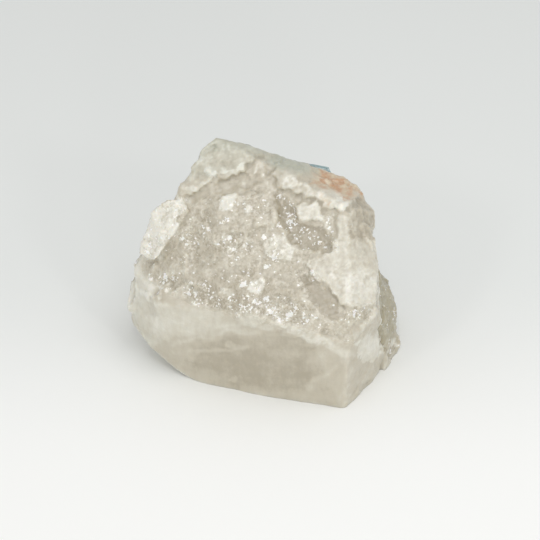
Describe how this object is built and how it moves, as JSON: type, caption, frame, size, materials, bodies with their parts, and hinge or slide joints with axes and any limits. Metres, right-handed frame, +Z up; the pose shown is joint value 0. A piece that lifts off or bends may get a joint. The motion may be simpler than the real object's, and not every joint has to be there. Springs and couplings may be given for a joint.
{
  "type": "rough aquamarine in quartz matrix",
  "caption": "Hand-sized lump of broken milky quartz with a cleft front face, resting on a flat, with a six-sided aquamarine crystal let into the back of its crest.",
  "frame": {"origin": "under the middle of the block, on the flat that it rests on", "axes": "+X along the block towards the end with the low lump, +Y to the back, where the crystal lies, +Z up"},
  "size_m": [0.1024, 0.082, 0.0847],
  "materials": {
    "milky_quartz": "translucent, sugary where broken and glassy where cleft",
    "aquamarine": "glassy, faintly ribbed along its length"
  },
  "bodies": {
    "root": {"quartz_matrix": "milky_quartz", "aquamarine_crystal": "aquamarine"}
  },
  "joints": []
}
